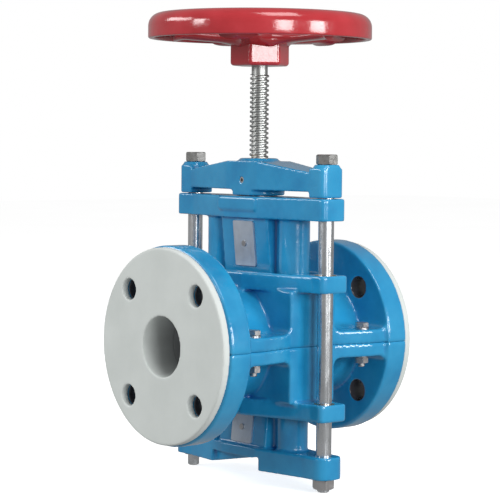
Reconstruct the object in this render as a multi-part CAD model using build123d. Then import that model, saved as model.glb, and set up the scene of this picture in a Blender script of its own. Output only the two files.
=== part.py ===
from build123d import *
import math
import os

# Double-acting pinch valve, DN50, hand operated. Millimetres.
# Origin: centre of the flow bore. X: flow axis. Y: line of the two tie rods. Z: spindle, up.

# ---- pipe connection and sleeve ----
face_to_face = 205.0
bore_d = 50.0
sleeve_wall = 8.0
sleeve_clear = 0.3  # gap between the sleeve and the iron around it
face_thick = 6.5
face_step = 1.5  # iron flange beyond the sealing face
face_chamfer = 0.8
flange_d = 165.0
flange_thick = 21.0
flange_chamfer = 1.0
flange_hole_edge = 20.0  # bolt hole to the flange's rim
flange_hole_d = 18.0
flange_hole_count = 4
neck_length = 26.0  # stiff neck of each sleeve end, inside the body flange

# ---- body halves ----
barrel_wall = 14.7
chamber_x = 49.0  # outside of the pinch chamber along the flow
rod_chamber_clear = 8.1  # tie rod to the chamber's end wall
chamber_wall_x = 7.0
chamber_wall_y = 7.0
body_half_height = 59.7
lug_thick = 14.2
lug_width = 29.0
lug_overhang = 12.5  # lug beyond the tie rod axis
lug_round = 4.5
crosshead_width = 66.0  # crosshead at the middle, across the flow
crosshead_shoulder = 18.0  # half length of its widest part
joint_flange_thick = 11.3
joint_flange_step = 3.5  # pipe flange beyond the joint flange
joint_shoulder_inset = 15.0  # full width of the joint flange, from the pipe flange
barrel_fillet = 14.0
pocket_fillet = 6.5

# ---- body bolts, M6 ----
body_bolt_d = 6.0
body_bolt_hole_d = 6.6
body_bolt_inset = 15.5  # from the back of the pipe flange
body_bolt_edge = 13.0  # from the edge of the joint flange
body_hex_af = 10.0
body_head_high = 4.2
body_nut_high = 5.2
body_washer_d = 12.0
body_washer_thick = 1.2
body_bolt_stickout = 3.0
spotface_clear = 0.5
spotface_high = 16.0

# ---- stroke and pinch bars ----
bar_clear = 0.5  # open bar to round sleeve
bar_height = 20.0
bar_width = 22.0
bar_nose_r = 9.0
bar_end_clear = 4.0  # bar to the chamber's end walls
column_clear = 4.5  # columns to the chamber's end walls

# ---- tie rods, M10 ends ----
rod_pitch = 171.0
rod_end_d = 10.0
rod_shoulder = 1.4
rod_slide_clear = 0.1
rod_free_clear = 1.0
rod_hole_clear = 0.3
rod_chamfer = 0.9
bush_wall = 2.0
nut_af = 16.0
nut_high = 8.4
rod_stickout = 2.6

# ---- upper carriage (driven down) ----
carriage_gap = 19.0  # body to carriage when closed
carriage_thick = 18.2
carriage_end_width = 26.0
carriage_mid_width = 40.0
carriage_mid_half = 22.0
carriage_overhang = 10.5
carriage_round = 5.0
column_d = 26.0
web_width = 12.0
rib_length = 60.0
rib_root_width = 32.0
rib_tip_width = 23.0
panel_length = 50.0
panel_height = 10.5
panel_proud = 1.6
panel_round = 2.5
panel_offset = 4.0  # panel's middle from the valve's middle
panel_above = 6.5  # panel above the carriage's under face

# ---- top bridge (pulled up) ----
bridge_gap = 0.6  # bridge feet above the carriage when open
bridge_thick = 23.7
bridge_end_width = 24.0
bridge_mid_width = 38.0
bridge_overhang = 8.5
bridge_end_length = 17.0
bridge_foot_d = 44.0
bridge_mid_half = 20.0
bridge_round = 5.0
bridge_relief = 4.8
bridge_arm_dip = 3.0  # arm below the end block
bridge_hump = 5.0
bridge_boss_d = 31.0
bridge_boss_high = 2.5
bridge_boss_draft = 3.5
seat_boss_d = 20.0
seat_boss_high = 3.2
seat_boss_draft = 2.0

# ---- lower bridge ----
lower_gap = 3.8  # body to lower bridge when closed
lower_thick = 18.6
lower_overhang = 12.5
lower_round = 10.0
lower_relief = 11.6  # under the far arm
lower_relief_start = 25.0  # on the near side of the middle
lower_relief_end = 38.0
lower_recess = 7.0  # far arm's front face set back below its lip
lower_lip = 8.5
far_seat_depth = 7.0
nut_pocket_d = 24.0

# ---- spindle, Tr16 x 4 ----
spindle_d = 16.0
thread_clear = 0.08
neck_d = 13.6
neck_high = 7.0
wheel_gap = 27.3  # wheel hub above the bridge when closed
collar_step = 3.0
collar_high = 6.0
journal_d = 12.0
journal_length = 22.0
journal_relief = 1.0
bush_lift = 2.0
running_clear = 0.05
collar_clear = 0.4
axial_clear = 0.1
thrust_washer_thick = 3.0
spindle_bush_wall = 2.5
retainer_rim = 6.0  # retainer beyond the collar
retainer_thick = 3.5
retainer_fit = 0.2
retainer_screw_d = 3.0
retainer_screw_head_d = 5.6
retainer_screw_head_high = 1.5
retainer_screw_edge = 3.4
retainer_screw_length = 10.0
retainer_slot_width = 0.9
retainer_slot_depth = 0.7

# ---- spindle nut ----
nut_wall = 4.5
nut_flange_step = 2.5
nut_flange_thick = 5.0
nut_shoulder_clear = 0.5
set_screw_d = 5.0
set_screw_above = 13.0  # above the bridge's feet
set_screw_bite = 1.5
set_screw_sunk = 0.5
set_socket_af = 2.6
set_socket_depth = 2.0

# ---- bar screws, M8 ----
bar_screw_d = 8.0
bar_screw_head_d = 13.0
bar_screw_head_high = 8.0
bar_screw_head_clear = 0.5
bar_screw_grip = 12.0  # thread in the pinch bar
bar_screw_tail = 2.0
bar_screw_seat_depth = 12.5  # screw seats below the lower bridge
bar_screw_chamfer = 0.8
screw_socket_af = 6.0
screw_hole_clear = 0.25

# ---- type plates ----
plate_width = 26.0
plate_height = 38.0
lower_plate_height = 26.0
plate_thick = 1.5
plate_gap = 2.4  # plate edge below its bridge
plate_chamfer = 1.0
rivet_d = 3.0
rivet_head_d = 5.0
rivet_head_high = 0.8
rivet_length = 6.0
rivet_tail = 1.0

# ---- handwheel ----
wheel_d = 188.0
rim_lift = 22.3  # rim's lower edge above the hub's
rim_height = 21.3
rim_width = 24.0
rim_wall = 5.0
rim_inner_lift = 5.0  # inner lip above the outer one
rim_crown_r = 11.0
hub_af = 44.0  # the hub is a hexagonal boss
hub_corner_r = 3.0
hub_high = 27.0
hub_round = 2.5
spoke_count = 5
spoke_width = 17.0
spoke_thick = 7.0
spoke_rise = 4.0
spoke_root = 5.0  # spoke let into the hub
spoke_tip = 2.0  # spoke let into the rim
spoke_drop = 2.0  # spoke below the hub's top
wheel_bore_d = 12.0
wheel_nut_af = 18.0
wheel_nut_high = 8.0
wheel_washer_d = 21.0
wheel_washer_thick = 2.0
wheel_washer_clear = 0.3
spindle_tip = 1.5
spindle_chamfer = 0.8
key_width = 4.0
key_height = 4.0
key_length = 16.0

overlap = 1.0  # how far shapes run into each other before they are joined or cut

# ---- worked out from the sizes above ----
half_face = face_to_face / 2
face_d = flange_d - 2 * face_step
flange_out = half_face - face_thick
flange_in = flange_out - flange_thick
sleeve_d = bore_d + 2 * sleeve_wall
sleeve_way_d = sleeve_d + 2 * sleeve_clear
barrel_d = sleeve_way_d + 2 * barrel_wall
neck_in = flange_out - neck_length
stroke = bore_d / 2
joint_half = flange_d / 2 - joint_flange_step
body_bolt_x = flange_in - body_bolt_inset
body_bolt_y = joint_half - body_bolt_edge
rod_y = rod_pitch / 2
rod_d = rod_end_d + 2 * rod_shoulder
chamber_y = rod_pitch - rod_d - 2 * rod_chamber_clear
bush_d = rod_d + 2 * rod_slide_clear + 2 * bush_wall
lug_under = body_half_height - lug_thick
lug_end = rod_y + lug_overhang
slot_x = chamber_x - 2 * chamber_wall_x
slot_y = chamber_y - 2 * chamber_wall_y
bar_length = slot_y - 2 * bar_end_clear
bar_under = sleeve_d / 2 + bar_clear
bar_top = bar_under + bar_height
column_y = (slot_y - column_d) / 2 - column_clear
carriage_under = body_half_height + stroke + carriage_gap
carriage_top = carriage_under + carriage_thick
rib_taper = math.atan((rib_root_width - rib_tip_width) / 2 / (carriage_under - body_half_height))
bridge_under = carriage_top + bridge_gap
bridge_top = bridge_under + bridge_thick
bridge_high = bridge_top + bridge_hump
boss_top = bridge_high + bridge_boss_high
bridge_end = rod_y + bridge_overhang
seat_top = bridge_top + seat_boss_high
lower_top = body_half_height + stroke + lower_gap
lower_under = lower_top + lower_thick
lower_end = rod_y + lower_overhang
hub_under = boss_top + 2 * stroke + wheel_gap
hub_top = hub_under + hub_high
rim_under = hub_under + rim_lift
rim_top = rim_under + rim_height
thread_top = hub_under - neck_high
collar_d = spindle_d + 2 * collar_step
retainer_d = collar_d + 2 * retainer_rim
retainer_under = carriage_top - retainer_thick
retainer_screw_r = retainer_d / 2 - retainer_screw_edge
collar_top = retainer_under - axial_clear
collar_under = collar_top - collar_high
thrust_under = collar_under - axial_clear - thrust_washer_thick
journal_end = thrust_under - journal_length
bush_under = journal_end + bush_lift
bush_inner_d = journal_d + 2 * running_clear
nut_body_d = spindle_d + 2 * nut_wall
nut_flange_d = nut_body_d + 2 * nut_flange_step


def ring(outer_d, inner_d, height):
    """A plain ring standing on the XY plane."""
    return extrude(Circle(outer_d / 2) - Circle(inner_d / 2), height)


def hexagon(across_flats, height):
    """A hexagonal prism with its upper and lower corners turned off."""
    prism = extrude(RegularPolygon(across_flats / 2, 6, major_radius=False), height)
    corner = across_flats / math.sqrt(3)
    turned = extrude(Circle(corner), height)
    turned = chamfer(turned.edges(), (corner - across_flats / 2) * 0.75)
    return prism & turned


def upright_box(size_x, size_y, low_z, high_z):
    """A box centred on the Z axis between two heights."""
    return Pos(0, 0, (low_z + high_z) / 2) * Box(size_x, size_y, high_z - low_z)


def rod(diameter, low_z, high_z):
    """A round bar on the Z axis between two heights."""
    return Pos(0, 0, low_z) * extrude(Circle(diameter / 2), high_z - low_z)


def pair_y(shape, offset):
    """The shape at +offset and -offset along Y."""
    return [Pos(0, side * offset, 0) * shape for side in (-1, 1)]


def bar_plan(end_width, mid_width, end_y, mid_y, taper_end, low_z, high_z, corner):
    """A bar along Y, wide at the middle and narrower at its rounded ends."""
    half_end = end_width / 2
    half_mid = mid_width / 2
    outline = Polyline(
        (half_mid, -mid_y), (half_mid, mid_y), (half_end, taper_end), (half_end, end_y),
        (-half_end, end_y), (-half_end, taper_end), (-half_mid, mid_y), (-half_mid, -mid_y),
        (-half_end, -taper_end), (-half_end, -end_y), (half_end, -end_y), (half_end, -taper_end),
        (half_mid, -mid_y),
    )
    bar = Pos(0, 0, low_z) * extrude(make_face(outline), high_z - low_z)
    ends = bar.edges().filter_by(Axis.Z).filter_by(lambda e: abs(e.center().Y) > end_y - 0.1)
    return fillet(ends, corner)


def side_profile(points, width):
    """A plate across the flow, cut to an outline of (Y, Z) points."""
    return extrude(Plane.YZ * make_face(Polyline(*points, points[0])), width / 2, both=True)


def below(shape):
    """The same shape mirrored below the bore centre."""
    return mirror(shape, Plane.XY)


# ---------------------------------------------------------------- body
def flange_holes(low_x, high_x):
    """The drillings of one pipe flange, straddling both centre lines."""
    drill = Pos(low_x, 0, 0) * (Plane.YZ * extrude(Circle(flange_hole_d / 2), high_x - low_x))
    radius = flange_d / 2 - flange_hole_edge
    step = 360 / flange_hole_count
    turns = [math.radians(step * (i + 0.5)) for i in range(flange_hole_count)]
    return [Pos(0, radius * math.cos(a), radius * math.sin(a)) * drill for a in turns]


def body_half():
    """Upper half of the cast iron body, split on the bore centre."""
    big = 2 * flange_d
    body = Plane.YZ * extrude(Circle(barrel_d / 2), flange_out, both=True)
    for side in (-1, 1):
        disc = Plane.YZ * extrude(Circle(flange_d / 2), flange_thick)
        disc = chamfer(disc.edges(), flange_chamfer)
        body += Pos(flange_in if side > 0 else -flange_out, 0, 0) * disc
    body += upright_box(chamber_x, chamber_y, -overlap, lug_under + overlap)
    body += joint_flange()
    body += crosshead()
    body -= Pos(0, 0, -big / 2) * Box(big, big, big)
    body -= Plane.YZ * extrude(Circle(sleeve_way_d / 2), face_to_face, both=True)
    body -= upright_box(slot_x, slot_y, 0, 2 * body_half_height)
    for hole in flange_holes(-half_face, -flange_in + overlap):
        body -= hole
    for hole in flange_holes(flange_in - overlap, half_face):
        body -= hole
    for hole in pair_y(rod(bush_d, 0, 2 * body_half_height), rod_y):
        body -= hole
    for spot in body_bolt_spots():
        body -= spot * rod(body_bolt_hole_d, -overlap, joint_flange_thick + overlap)
        face = rod(body_washer_d + 2 * spotface_clear, 0, spotface_high)
        body -= spot * Pos(0, 0, joint_flange_thick) * face
    return body


def joint_flange():
    """Flange on the split plane, flush with the chamber, with cast fillets all round."""
    shoulder = flange_in - joint_shoulder_inset
    waist = chamber_y / 2
    near = chamber_x / 2
    outline = Polyline(
        (flange_in, -joint_half), (flange_in, joint_half), (shoulder, joint_half), (near, waist),
        (-near, waist), (-shoulder, joint_half), (-flange_in, joint_half), (-flange_in, -joint_half),
        (-shoulder, -joint_half), (-near, -waist), (near, -waist), (shoulder, -joint_half),
        (flange_in, -joint_half),
    )
    column = extrude(make_face(outline), joint_flange_thick + pocket_fillet)
    flange = extrude(make_face(outline), joint_flange_thick)
    flange += column & pocket_corners()
    return flange + barrel_flare()


def pocket_corners():
    """Cast fillets where the joint flange meets the pipe flanges and the chamber."""
    seat = joint_flange_thick
    size = pocket_fillet
    corners = None
    for wall, away in ((flange_in, -1), (chamber_x / 2, 1), (-flange_in, 1), (-chamber_x / 2, -1)):
        x = wall + away * size / 2
        block = Pos(x, 0, seat + size / 2) * Box(size, 2 * joint_half, size)
        hollow = Pos(wall + away * size, 0, seat + size) * (
            Rot(90, 0, 0) * Cylinder(size, 2 * joint_half + 2 * overlap)
        )
        corners = block - hollow if corners is None else corners + (block - hollow)
    return corners


def barrel_flare():
    """Cast fillets along the barrel, down to the joint flange."""
    seat = joint_flange_thick
    reach = barrel_d / 2 + barrel_fillet
    middle_z = seat + barrel_fillet
    middle_y = math.sqrt(reach**2 - middle_z**2)
    touch = barrel_d / 2 / reach
    face = make_face(Polyline(
        (0, 0), (middle_y, 0), (middle_y, middle_z), (middle_y * touch, middle_z * touch), (0, 0)
    ))
    face -= Pos(middle_y, middle_z) * Circle(barrel_fillet)
    flare = extrude(Plane.YZ * face, flange_in + overlap, both=True)
    return flare + mirror(flare, Plane.XZ)


def crosshead():
    """Top plate of the chamber, drawn out to a guide lug for each tie rod."""
    return bar_plan(
        lug_width, crosshead_width, lug_end, crosshead_shoulder, rod_y,
        lug_under, body_half_height, lug_round,
    )


def body_bolt_spots():
    """Places of the four bolts that clamp the body halves."""
    return [Pos(sx * body_bolt_x, sy * body_bolt_y, 0) for sx in (-1, 1) for sy in (-1, 1)]


def body_bolts():
    """Hexagon bolts, heads on the upper joint flange."""
    seat = joint_flange_thick + body_washer_thick
    tip = -seat - body_nut_high - body_bolt_stickout
    shank = chamfer(rod(body_bolt_d, tip, seat + overlap).edges().sort_by(Axis.Z)[0], body_bolt_d / 10)
    bolt = shank + Pos(0, 0, seat) * hexagon(body_hex_af, body_head_high)
    return [spot * bolt for spot in body_bolt_spots()]


def body_nuts():
    """Nuts below the lower joint flange."""
    seat = -joint_flange_thick - body_washer_thick - body_nut_high
    nut = hexagon(body_hex_af, body_nut_high) - rod(body_bolt_d, -overlap, body_nut_high + overlap)
    return [spot * Pos(0, 0, seat) * nut for spot in body_bolt_spots()]


def body_washers():
    """A washer under each bolt head and each nut."""
    washer = ring(body_washer_d, body_bolt_hole_d, body_washer_thick)
    heights = (joint_flange_thick, -joint_flange_thick - body_washer_thick)
    return [spot * Pos(0, 0, z) * washer for spot in body_bolt_spots() for z in heights]


def rod_bushes():
    """Guide bushes pressed into the four lugs."""
    bush = ring(bush_d, rod_d + 2 * rod_slide_clear, lug_thick)
    upper = pair_y(Pos(0, 0, lug_under) * bush, rod_y)
    return upper + [below(b) for b in upper]


def sleeve_tube():
    """Middle of the rubber sleeve, the part that is pinched."""
    return Plane.YZ * extrude(Circle(sleeve_d / 2) - Circle(bore_d / 2), neck_in, both=True)


def sleeve_ends():
    """Stiff ends of the sleeve, each with its full sealing face."""
    neck = Plane.YZ * extrude(Circle(sleeve_d / 2), neck_length + face_thick)
    disc = Plane.YZ * extrude(Circle(face_d / 2), face_thick)
    disc = chamfer(disc.edges().sort_by(Axis.X)[-1], face_chamfer)
    end = Pos(neck_in, 0, 0) * neck + Pos(flange_out, 0, 0) * disc
    end -= Plane.YZ * extrude(Circle(bore_d / 2), face_to_face)
    for hole in flange_holes(flange_out - overlap, half_face + overlap):
        end -= hole
    return [end, mirror(end, Plane.YZ)]


# ---------------------------------------------------------------- pinch assemblies
def pinch_columns(root_z):
    """Centre rib and two round columns between a pinch bar and its bridge."""
    top = root_z + overlap
    column = rod(column_d, bar_top, top)
    block = Pos(0, -column_y, 0) * column + Pos(0, column_y, 0) * column
    block += upright_box(web_width, 2 * column_y, bar_top, top)
    slope = math.tan(rib_taper)
    half_root = rib_root_width / 2 + slope * overlap
    half_tip = rib_root_width / 2 - slope * (root_z - body_half_height)
    side = Polyline(
        (half_tip, bar_top), (half_tip, body_half_height), (half_root, top),
        (-half_root, top), (-half_tip, body_half_height), (-half_tip, bar_top),
        (half_tip, bar_top),
    )
    return block + extrude(Plane.XZ * make_face(side), rib_length / 2, both=True)


def bar_screw_way(seat):
    """Clearance hole and counterbore for one bar screw."""
    way = rod(bar_screw_d + 2 * screw_hole_clear, bar_top - overlap, seat + overlap)
    return way + rod(bar_screw_head_d + 2 * bar_screw_head_clear, seat, 2 * seat)


def rod_ways(diameter, low, high):
    """Two holes for the tie rods."""
    return pair_y(rod(diameter, low, high), rod_y)


def upper_carriage():
    """Casting below the top bridge: bar, rib and columns in one piece."""
    casting = bar_plan(
        carriage_end_width, carriage_mid_width, rod_y + carriage_overhang, carriage_mid_half,
        rod_y - carriage_end_width / 2, carriage_under, carriage_top, carriage_round,
    )
    casting += pinch_columns(carriage_under)
    casting += front_panel()
    for hole in rod_ways(rod_d + 2 * rod_free_clear, carriage_under - overlap, carriage_top + overlap):
        casting -= hole
    for way in pair_y(bar_screw_way(carriage_top - bar_screw_head_high), column_y):
        casting -= way
    casting -= rod(retainer_d + 2 * retainer_fit, retainer_under, carriage_top + overlap)
    casting -= rod(collar_d + 2 * collar_clear, thrust_under, retainer_under + overlap)
    casting -= rod(bush_inner_d + 2 * spindle_bush_wall, bush_under, thrust_under + overlap)
    casting -= rod(journal_d + journal_relief, journal_end - journal_relief, bush_under + overlap)
    for spot in retainer_screw_spots():
        casting -= spot * rod(retainer_screw_d, retainer_under - retainer_screw_length, carriage_top)
    return casting - rivet_way(carriage_under, plate_height)


def front_panel():
    """Raised blank panel on the carriage's front face."""
    pad = Box(2 * panel_proud, panel_length, panel_height)
    pad = fillet(pad.edges().filter_by(Axis.X), panel_round)
    middle = carriage_under + panel_above + panel_height / 2
    return Pos(-carriage_mid_width / 2, panel_offset, middle) * pad


def pinch_bar():
    """Upper pinch bar with a rounded nose, resting just clear of the open sleeve."""
    nose_z = bar_under + bar_nose_r
    flat = bar_width / 2 - bar_nose_r
    bar = Pos(0, 0, nose_z) * extrude(Rectangle(bar_width, bar_length), bar_top - nose_z)
    for x in (-flat, flat):
        bar += Pos(x, 0, nose_z) * (Plane.XZ * extrude(Circle(bar_nose_r), bar_length / 2, both=True))
    bar += upright_box(2 * flat, bar_length, bar_under, nose_z)
    foot = bar_top - bar_screw_grip - bar_screw_tail
    for hole in pair_y(rod(bar_screw_d, foot, bar_top + overlap), column_y):
        bar -= hole
    return bar


def bar_screws(seat):
    """Socket screws from a counterbore down into the pinch bar."""
    head = rod(bar_screw_head_d, seat, seat + bar_screw_head_high)
    head = chamfer(head.edges().sort_by(Axis.Z)[-1], bar_screw_chamfer)
    screw = head + rod(bar_screw_d, bar_top - bar_screw_grip, seat + overlap)
    socket = extrude(RegularPolygon(screw_socket_af / 2, 6, major_radius=False), bar_screw_head_high)
    screw -= Pos(0, 0, seat + bar_screw_head_high / 2) * socket
    return pair_y(screw, column_y)


def retainer_screw_spots():
    """Places of the retainer's two screws."""
    return [Pos(0, side * retainer_screw_r, 0) for side in (-1, 1)]


def screw_sink():
    """Countersunk head's cone, flush with the carriage's top."""
    half = retainer_screw_head_high / 2
    cone = Cone(retainer_screw_d / 2, retainer_screw_head_d / 2, retainer_screw_head_high)
    return Pos(0, 0, carriage_top - half) * cone


def retainer():
    """Disc that keeps the spindle's collar in the carriage."""
    disc = Pos(0, 0, retainer_under) * ring(retainer_d, spindle_d + 2 * collar_clear, retainer_thick)
    for spot in retainer_screw_spots():
        disc -= spot * rod(retainer_screw_d, retainer_under - overlap, carriage_top + overlap)
        disc -= spot * screw_sink()
    return disc


def retainer_screws():
    """Countersunk screws, flush with the carriage's top."""
    foot = retainer_under - retainer_screw_length + overlap
    screw = screw_sink() + rod(retainer_screw_d, foot, carriage_top - overlap)
    slot_foot = carriage_top - retainer_slot_depth
    screw -= upright_box(retainer_slot_width, retainer_screw_head_d, slot_foot, carriage_top + overlap)
    return [spot * screw for spot in retainer_screw_spots()]


def spindle_bush():
    """Bronze bush for the spindle's lower journal."""
    height = thrust_under - bush_under
    return Pos(0, 0, bush_under) * ring(bush_inner_d + 2 * spindle_bush_wall, bush_inner_d, height)


def thrust_washer():
    """Bronze washer that takes the spindle's push."""
    return Pos(0, 0, thrust_under) * ring(collar_d, journal_d + 4 * running_clear, thrust_washer_thick)


def rib_face(root_z, height):
    """Frame of the middle of a plate on the rib's drafted front face."""
    drop = plate_gap + height / 2
    middle_x = -rib_root_width / 2 + math.tan(rib_taper) * (drop * math.cos(rib_taper))
    return Pos(middle_x, 0, root_z - drop) * Rot(0, -math.degrees(rib_taper), 0)


def cross_rod(diameter, low_x, high_x):
    """A round bar along the X axis."""
    middle = (low_x + high_x) / 2
    return Pos(middle, 0, 0) * (Rot(0, 90, 0) * Cylinder(diameter / 2, high_x - low_x))


def type_plate(root_z, height):
    """Blank plate on the front of the rib."""
    blank = Box(plate_thick, plate_width, height)
    blank = chamfer(blank.edges().filter_by(Axis.X), plate_chamfer)
    blank -= cross_rod(rivet_d, -plate_thick, plate_thick)
    return rib_face(root_z, height) * Pos(-plate_thick / 2, 0, 0) * blank


def rivet(root_z, height):
    """Drive rivet through the middle of the plate."""
    head = cross_rod(rivet_head_d, -plate_thick - rivet_head_high, -plate_thick)
    return rib_face(root_z, height) * (head + cross_rod(rivet_d, -plate_thick, rivet_length))


def rivet_way(root_z, height):
    """Hole in the rib for the plate's rivet."""
    return rib_face(root_z, height) * cross_rod(rivet_d, -overlap, rivet_length + rivet_tail)


# ---------------------------------------------------------------- yoke
def top_bridge():
    """Casting that holds the spindle nut and hangs on the tie rods."""
    bar = bar_plan(
        bridge_end_width, bridge_mid_width, bridge_end, bridge_mid_half,
        bridge_end - bridge_end_length, bridge_under, boss_top, bridge_round,
    )
    block = bridge_end - bridge_end_length
    relief = bridge_under + bridge_relief
    arm = bridge_top - bridge_arm_dip
    far = [
        (block, relief), (block, bridge_under), (bridge_end + overlap, bridge_under),
        (bridge_end + overlap, bridge_top), (block, bridge_top), (block, arm),
        (bridge_mid_half, bridge_high),
    ]
    casting = bar & side_profile(far + [(-y, z) for y, z in reversed(far)], 2 * bridge_mid_width)
    casting += bar & rod(bridge_foot_d, bridge_under, relief + overlap)
    casting += bar & cone_boss(bridge_boss_d, bridge_boss_draft, bridge_high, bridge_boss_high)
    for boss in pair_y(cone_boss(seat_boss_d, seat_boss_draft, bridge_top, seat_boss_high), rod_y):
        casting += bar & boss
    for hole in rod_ways(rod_end_d + 2 * rod_hole_clear, bridge_under - overlap, boss_top):
        casting -= hole
    casting -= rod(nut_body_d, bridge_under - overlap, boss_top + overlap)
    casting -= rod(nut_flange_d, bridge_under - overlap, bridge_under + nut_flange_thick)
    return casting - set_screw_way(bridge_mid_width)


def cone_boss(top_d, draft, foot, height):
    """Drafted round boss standing on a height, let into the casting below it."""
    cone = Cone(top_d / 2 + draft, top_d / 2, height + overlap)
    return Pos(0, 0, foot - overlap + (height + overlap) / 2) * cone


def set_screw_way(length):
    """Straight bore for the nut's set screw, from the bridge's front."""
    bore = Rot(0, -90, 0) * extrude(Circle(set_screw_d / 2), length)
    return Pos(set_screw_bite - nut_body_d / 2, 0, bridge_under + set_screw_above) * bore


def spindle_nut():
    """Bronze nut, shouldered below so that it lifts the bridge."""
    nut = rod(nut_body_d, bridge_under + nut_shoulder_clear, boss_top)
    nut += rod(nut_flange_d, bridge_under, bridge_under + nut_flange_thick)
    nut -= rod(spindle_d + 2 * thread_clear, bridge_under - overlap, boss_top + overlap)
    return nut - set_screw_way(bridge_mid_width)


def nut_set_screw():
    """Grub screw that stops the nut from turning."""
    length = (bridge_mid_width - nut_body_d) / 2 + set_screw_bite - set_screw_sunk
    socket = extrude(RegularPolygon(set_socket_af / 2, 6, major_radius=False), 2 * set_socket_depth)
    mouth = set_screw_bite - nut_body_d / 2 - length + set_socket_depth
    place = Pos(mouth, 0, bridge_under + set_screw_above) * Rot(0, -90, 0)
    return set_screw_way(length) - place * socket


def tie_rods():
    """Two shouldered rods that join the top and lower bridges."""
    foot = -lower_under - nut_high - rod_stickout
    bar = rod(rod_d, -lower_top, bridge_under) + rod(rod_end_d, foot, seat_top + nut_high)
    ends = bar.edges().filter_by(GeomType.CIRCLE).sort_by(Axis.Z)
    return pair_y(chamfer([ends[0], ends[-1]], rod_chamfer), rod_y)


def rod_nut():
    """One hexagon nut, standing on the XY plane."""
    return hexagon(nut_af, nut_high) - rod(rod_end_d, -overlap, nut_high + overlap)


def upper_rod_nuts():
    """Nuts on the seat bosses of the top bridge."""
    return pair_y(Pos(0, 0, seat_top) * rod_nut(), rod_y)


def lower_rod_nuts():
    """Nuts under the lower bridge, the far one sunk in its pocket."""
    near = Pos(0, -rod_y, -lower_under - nut_high) * rod_nut()
    return [near, Pos(0, rod_y, -lower_under - nut_high + far_seat_depth) * rod_nut()]


def lower_bridge():
    """Casting under the body: bar, rib and columns in one piece, relieved under its far arm."""
    bar = bar_plan(
        carriage_end_width, carriage_mid_width, lower_end, carriage_mid_half,
        rod_y - carriage_end_width / 2, lower_top, lower_under, lower_round,
    )
    outline = [
        (-lower_end - overlap, lower_top), (lower_end + overlap, lower_top),
        (lower_end + overlap, lower_under), (lower_relief_end, lower_under),
        (-lower_relief_start, lower_under - lower_relief), (-lower_relief_start, lower_under),
        (-lower_end - overlap, lower_under),
    ]
    casting = bar & side_profile(outline, 2 * carriage_mid_width)
    casting += pinch_columns(lower_top)
    casting -= front_recess()
    for hole in rod_ways(rod_end_d + 2 * rod_hole_clear, lower_top - overlap, lower_under + overlap):
        casting -= hole
    casting -= Pos(0, rod_y, 0) * rod(nut_pocket_d, lower_under - far_seat_depth, lower_under + overlap)
    for way in pair_y(bar_screw_way(lower_under - bar_screw_seat_depth), column_y):
        casting -= way
    return below(casting - rivet_way(lower_top, lower_plate_height))


def front_recess():
    """Set-back of the far arm's front face below its lip."""
    middle_y = (lower_relief_end - lower_relief_start) / 2
    length = lower_relief_start + lower_relief_end
    height = lower_thick - lower_lip
    place = Pos(-carriage_mid_width / 2, middle_y, lower_under - height / 2 + overlap)
    return place * Box(2 * lower_recess, length, height + 2 * overlap)


# ---------------------------------------------------------------- spindle and handwheel
def spindle():
    """Threaded spindle with its collar, lower journal and wheel seat."""
    tip = hub_top + wheel_washer_thick + wheel_nut_high + spindle_tip
    bar = rod(journal_d, journal_end, collar_under + overlap)
    bar += rod(collar_d, collar_under, collar_top)
    bar += rod(spindle_d, collar_top - overlap, thread_top)
    bar += rod(neck_d, thread_top - overlap, hub_under)
    bar += rod(wheel_bore_d, hub_under - overlap, tip)
    bar = chamfer(bar.edges().filter_by(GeomType.CIRCLE).sort_by(Axis.Z)[-1], spindle_chamfer)
    return bar - wheel_key()


def wheel_key():
    """Parallel key between the spindle and the hub."""
    middle = (hub_under + hub_top) / 2
    return Pos(wheel_bore_d / 2, 0, middle) * Box(key_height, key_width, key_length)


def rim():
    """Rim with an open channel below and a rounded crown."""
    outer = wheel_d / 2
    inner = outer - rim_width
    lip = rim_under + rim_inner_lift
    section = make_face(Polyline(
        (outer, rim_under), (outer, rim_top), (inner, rim_top), (inner, lip),
        (inner + rim_wall, lip), (inner + rim_wall, rim_top - rim_wall),
        (outer - rim_wall, rim_top - rim_wall), (outer - rim_wall, rim_under), (outer, rim_under),
    ))
    section = fillet([v for v in section.vertices() if v.Y > rim_top - 0.01], rim_crown_r)
    inside = [v for v in section.vertices() if abs(v.Y - rim_top + rim_wall) < 0.01]
    return revolve(Plane.XZ * fillet(inside, rim_crown_r - rim_wall), Axis.Z, 360)


def spoke():
    """One spoke from the hub to the rim's inner wall."""
    inner = hub_af / 2 - spoke_root
    outer = wheel_d / 2 - rim_width + spoke_tip
    base = hub_top - spoke_thick - spoke_drop
    side = Polyline(
        (inner, base), (outer, base + spoke_rise), (outer, base + spoke_rise + spoke_thick),
        (inner, base + spoke_thick), (inner, base),
    )
    return extrude(Plane.XZ * make_face(side), spoke_width / 2, both=True)


def hub():
    """Hexagonal boss with rounded corners, one flat square to the flow axis."""
    plan = RegularPolygon(hub_af / 2, 6, major_radius=False, rotation=30)
    plan = fillet(plan.vertices(), hub_corner_r)
    boss = Pos(0, 0, hub_under) * extrude(plan, hub_high)
    ends = boss.edges().group_by(Axis.Z)
    return fillet(ends[0] + ends[-1], hub_round)


def handwheel():
    """Cast handwheel: rim, spokes and hub in one piece."""
    wheel = rim() + hub()
    for i in range(spoke_count):
        wheel += Rot(0, 0, 360 / spoke_count * i) * spoke()
    wheel -= rod(wheel_bore_d, hub_under - overlap, hub_top + overlap)
    return wheel - wheel_key()


def wheel_washer():
    """Washer below the wheel nut."""
    inner = wheel_bore_d + 2 * wheel_washer_clear
    return Pos(0, 0, hub_top) * ring(wheel_washer_d, inner, wheel_washer_thick)


def wheel_nut():
    """Nut that holds the handwheel on the spindle."""
    nut = hexagon(wheel_nut_af, wheel_nut_high) - rod(wheel_bore_d, -overlap, wheel_nut_high + overlap)
    return Pos(0, 0, hub_top + wheel_washer_thick) * nut


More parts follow.
